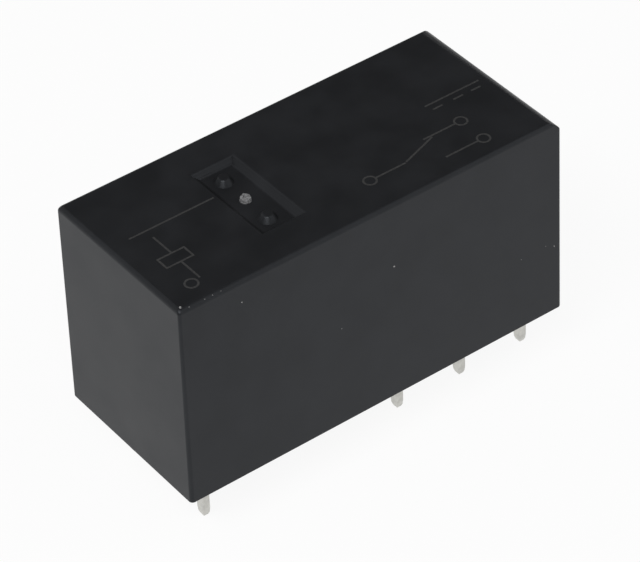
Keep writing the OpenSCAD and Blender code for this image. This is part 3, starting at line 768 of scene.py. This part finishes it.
class RELAY_OT_flecks(bpy.types.Operator):
    """Set small pale flecks on the front face and along the top edge, and a pale dot that paints a highlight
    on the near top corner
    """

    bl_idname = "relay.flecks"
    bl_label = "Flecks"

    # Places along and up the front face with a size, along the top edge, and of the painted highlight at the
    # corner, in millimetres
    FRONT = ((1.25, 10.54, 0.13), (13.05, 5.91, 0.07), (13.74, 5.56, 0.07), (11.09, 5.86, 0.06),
             (-2.81, 7.84, 0.06), (-9.84, 13.71, 0.09))
    EDGE = (-13.4, -12.3, -11.74, -11.15)
    EDGE_SIZE = 0.05
    CORNER_GLINT = (-13.88, -5.98)
    CORNER_SIZE = 0.13

    # Unevenness as a share of a fleck's size, and lumps to a millimetre
    LUMP, LUMP_GRAIN = 0.35, 17.0

    def execute(self, context):
        case = context.scene.relay_case
        rim, top = in_mm(case.rim), in_mm(case.top)
        half_w, lean = in_mm(case.width) / 2, in_mm(case.lean_side)
        edge = in_mm(case.edge)
        bm = bmesh.new()
        for x, z, size in self.FRONT:
            face_y = -half_w + lean * (z - rim) / (top - rim)
            self.fleck(bm, Vector((x, face_y, z)), size)
        # Half way round the rounded edge
        slant = edge * (1 - math.sqrt(0.5))
        for x in self.EDGE:
            self.fleck(bm, Vector((x, -half_w + lean + slant, top - slant)), self.EDGE_SIZE)
        # A pale dot on the near top corner: a painted highlight
        self.fleck(bm, Vector((*self.CORNER_GLINT, top)), self.CORNER_SIZE)
        finish_piece(bm, "flecks", fleck_grey(), weighted=False)
        return {"FINISHED"}

    def fleck(self, bm, place, size):
        """Lump half sunk in the surface."""
        made = bmesh.ops.create_icosphere(bm, subdivisions=2, radius=size / 2,
                                          matrix=Matrix.Translation(place))
        for v in made["verts"]:
            away = v.co - place
            v.co = place + away * (1 + self.LUMP * noise.noise(v.co * self.LUMP_GRAIN))


class RELAY_OT_pins(bpy.types.Operator):
    """Build the tinned terminals from their solids, with pins cut to length"""

    bl_idname = "relay.pins"
    bl_label = "Pins"

    COIL_TERMINALS = ("coil_terminal_front", "coil_terminal_rear")
    CONTACT_TERMINALS = ("nc_terminal", "com_terminal", "no_terminal")

    def execute(self, context):
        sizes = context.scene.relay_pins
        tin = dull_tin(context.scene.relay_colours)
        for terminals, length in ((self.COIL_TERMINALS, sizes.coil_length),
                                  (self.CONTACT_TERMINALS, sizes.contact_length)):
            for node in terminals:
                piece = self.cut_to_length(node, tin, in_mm(length), in_mm(sizes.tip))
                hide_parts(node)
        return {"FINISHED"}

    def cut_to_length(self, node, tin, length, tip):
        """Copy of a terminal whose tips are moved up or down."""
        bm = bmesh.new()
        bm.from_mesh(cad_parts[node].data)
        bmesh.ops.scale(bm, vec=(1 / MM, 1 / MM, 1 / MM), verts=bm.verts)
        bmesh.ops.remove_doubles(bm, verts=bm.verts, dist=MERGE)
        end = in_mm(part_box(node)[0].z)
        tips = [v for v in bm.verts if v.co.z < end + tip]
        bmesh.ops.translate(bm, vec=(0, 0, -length - end), verts=tips)
        return finish_piece(bm, node + "_tinned", tin, weighted=False)


class RELAY_OT_underside(bpy.types.Operator):
    """Finish the floor with its feet and the resin that seals it"""

    bl_idname = "relay.underside"
    bl_label = "Underside"

    def execute(self, context):
        dress(base_black(), "base")
        dress(cast_resin(), "sealing_resin")
        return {"FINISHED"}


class RELAY_OT_magnet(bpy.types.Operator):
    """Finish the coil, its iron and the armature"""

    bl_idname = "relay.magnet"
    bl_label = "Magnet"

    def execute(self, context):
        dress(wound_copper(), "coil_winding", "coil_lead_front", "coil_lead_rear")
        dress(plated_iron(), "core", "yoke", "armature")
        dress(natural_plastic(), "bobbin", "card")
        return {"FINISHED"}


class RELAY_OT_contacts(bpy.types.Operator):
    """Finish the springs, rivets and contacts"""

    bl_idname = "relay.contacts"
    bl_label = "Contacts"

    def execute(self, context):
        dress(spring_bronze(), "hinge_spring", "contact_spring")
        dress(rivet_brass(), "spring_rivets")
        dress(contact_silver(), "nc_contact", "no_contact", "moving_contact")
        return {"FINISHED"}


class RELAY_OT_stage(bpy.types.Operator):
    """Set up the floor, the lamps, the dim room and the camera"""

    bl_idname = "relay.stage"
    bl_label = "Stage"

    # Places and sizes in metres, turns in degrees
    CAMERA_PLACE = (-0.0963842, -0.1363235, 0.1462957)
    CAMERA_TURN = (49.915, 2.013, -37.0226)
    KEY_PLACE = (-0.225, -0.158, 0.356)
    KEY_SIZE = (0.3, 0.1)
    PANEL_PLACES = {"left_panel": (-0.248, 0.355, 0.25), "right_panel": (0.27, -0.325, 0.265)}
    PANEL_SIZE = (0.6, 0.54)
    CLIP = (0.01, 20.0)

    # Sensor width in millimetres, and how much of the floor's look is plain white
    SENSOR = 36.0
    WHITE_SHARE = 0.92

    def execute(self, context):
        scene = context.scene
        self.floor(scene)
        self.lamp(scene, "key_lamp", self.KEY_PLACE, self.KEY_SIZE, scene.relay_stage.key)
        for name, place in self.PANEL_PLACES.items():
            self.lamp(scene, name, place, self.PANEL_SIZE, getattr(scene.relay_stage, name))
        self.room(scene)
        self.camera(scene)
        scene.view_settings.view_transform = "Standard"
        return {"FINISHED"}

    def floor(self, scene):
        """Wide flat floor under the pins."""
        bm = bmesh.new()
        bmesh.ops.create_grid(bm, x_segments=1, y_segments=1, size=scene.relay_stage.floor_size / 2)
        bmesh.ops.translate(bm, vec=(0, 0, CAD_LOW.z), verts=bm.verts)
        mesh = bpy.data.meshes.new("studio_floor")
        bm.to_mesh(mesh)
        bm.free()
        floor = bpy.data.objects.new("studio_floor", mesh)
        scene.collection.objects.link(floor)
        mesh.materials.append(self.floor_finish(scene.relay_colours.floor))

    def floor_finish(self, pale):
        """Pale, white to the camera and in reflections, but takes a shadow and is clear from below."""
        material = bpy.data.materials.new("studio_floor")
        material.use_nodes = True
        tree = material.node_tree
        tree.nodes.clear()
        add = tree.nodes.new
        diffuse = add("ShaderNodeBsdfDiffuse")
        diffuse.inputs["Color"].default_value = (*pale, 1.0)
        white = add("ShaderNodeEmission")
        path = add("ShaderNodeLightPath")
        seen = path.outputs["Is Camera Ray"]
        for output in ("Is Glossy Ray", "Is Transmission Ray"):
            either = add("ShaderNodeMath")
            either.operation = "MAXIMUM"
            tree.links.new(seen, either.inputs[0])
            tree.links.new(path.outputs[output], either.inputs[1])
            seen = either.outputs[0]
        share = add("ShaderNodeMath")
        share.operation = "MULTIPLY"
        share.inputs[1].default_value = self.WHITE_SHARE
        tree.links.new(seen, share.inputs[0])
        lit = add("ShaderNodeMixShader")
        tree.links.new(share.outputs[0], lit.inputs["Fac"])
        tree.links.new(diffuse.outputs[0], lit.inputs[1])
        tree.links.new(white.outputs[0], lit.inputs[2])
        clear = add("ShaderNodeBsdfTransparent")
        side = add("ShaderNodeNewGeometry")
        both = add("ShaderNodeMixShader")
        tree.links.new(side.outputs["Backfacing"], both.inputs["Fac"])
        tree.links.new(lit.outputs[0], both.inputs[1])
        tree.links.new(clear.outputs[0], both.inputs[2])
        output = add("ShaderNodeOutputMaterial")
        tree.links.new(both.outputs[0], output.inputs["Surface"])
        return material

    def lamp(self, scene, name, place, size, watts):
        """Flat lamp that faces the object."""
        light = bpy.data.lights.new(name, "AREA")
        light.shape = "RECTANGLE"
        light.size, light.size_y = size
        light.energy = watts
        lamp = bpy.data.objects.new(name, light)
        lamp.location = place
        lamp.rotation_euler = (-Vector(place)).to_track_quat("-Z", "Y").to_euler()
        lamp.visible_camera = False
        scene.collection.objects.link(lamp)

    def room(self, scene):
        """Dim grey all round."""
        world = bpy.data.worlds.new("studio_room")
        world.use_nodes = True
        level = scene.relay_stage.room
        back = world.node_tree.nodes["Background"]
        back.inputs["Color"].default_value = (level, level, level, 1.0)
        scene.world = world

    def camera(self, scene):
        """Long lens at the photograph's viewing angle."""
        data = bpy.data.cameras.new("photo_camera")
        data.lens = scene.relay_stage.lens
        data.sensor_width = self.SENSOR
        data.clip_start, data.clip_end = self.CLIP
        camera = bpy.data.objects.new("photo_camera", data)
        camera.location = self.CAMERA_PLACE
        camera.rotation_euler = [math.radians(a) for a in self.CAMERA_TURN]
        scene.collection.objects.link(camera)
        scene.camera = camera


class RELAY_PT_sidebar(bpy.types.Panel):
    """Lists the builders, with the sizes and colours that they use"""

    bl_label = "Relay"
    bl_idname = "RELAY_PT_sidebar"
    bl_space_type = "VIEW_3D"
    bl_region_type = "UI"
    bl_category = "Relay"

    def draw(self, context):
        for operator in OPERATORS:
            self.layout.operator(operator.bl_idname)
        for name in SETTINGS:
            group = getattr(context.scene, name)
            box = self.layout.box()
            for key in group.__annotations__:
                box.prop(group, key)


OPERATORS = (RELAY_OT_case, RELAY_OT_pocket_trim, RELAY_OT_top_marks, RELAY_OT_flecks, RELAY_OT_pins,
             RELAY_OT_underside, RELAY_OT_magnet, RELAY_OT_contacts, RELAY_OT_stage)
SETTINGS = {
    "relay_case": RelayCaseSizes,
    "relay_pocket": RelayPocketSizes,
    "relay_pins": RelayPinSizes,
    "relay_marks": RelayMarkSizes,
    "relay_colours": RelayColours,
    "relay_stage": RelayStageSizes,
}


def register():
    for group in SETTINGS.values():
        bpy.utils.register_class(group)
    for operator in OPERATORS:
        bpy.utils.register_class(operator)
    bpy.utils.register_class(RELAY_PT_sidebar)
    for name, group in SETTINGS.items():
        setattr(bpy.types.Scene, name, PointerProperty(type=group))


def unregister():
    for name in SETTINGS:
        delattr(bpy.types.Scene, name)
    bpy.utils.unregister_class(RELAY_PT_sidebar)
    for operator in reversed(OPERATORS):
        bpy.utils.unregister_class(operator)
    for group in reversed(SETTINGS.values()):
        bpy.utils.unregister_class(group)


def main():
    register()
    bpy.ops.relay.case()
    bpy.ops.relay.pocket_trim()
    bpy.ops.relay.top_marks()
    bpy.ops.relay.flecks()
    bpy.ops.relay.pins()
    bpy.ops.relay.underside()
    bpy.ops.relay.magnet()
    bpy.ops.relay.contacts()
    bpy.ops.relay.stage()


if __name__ == "__main__":
    main()
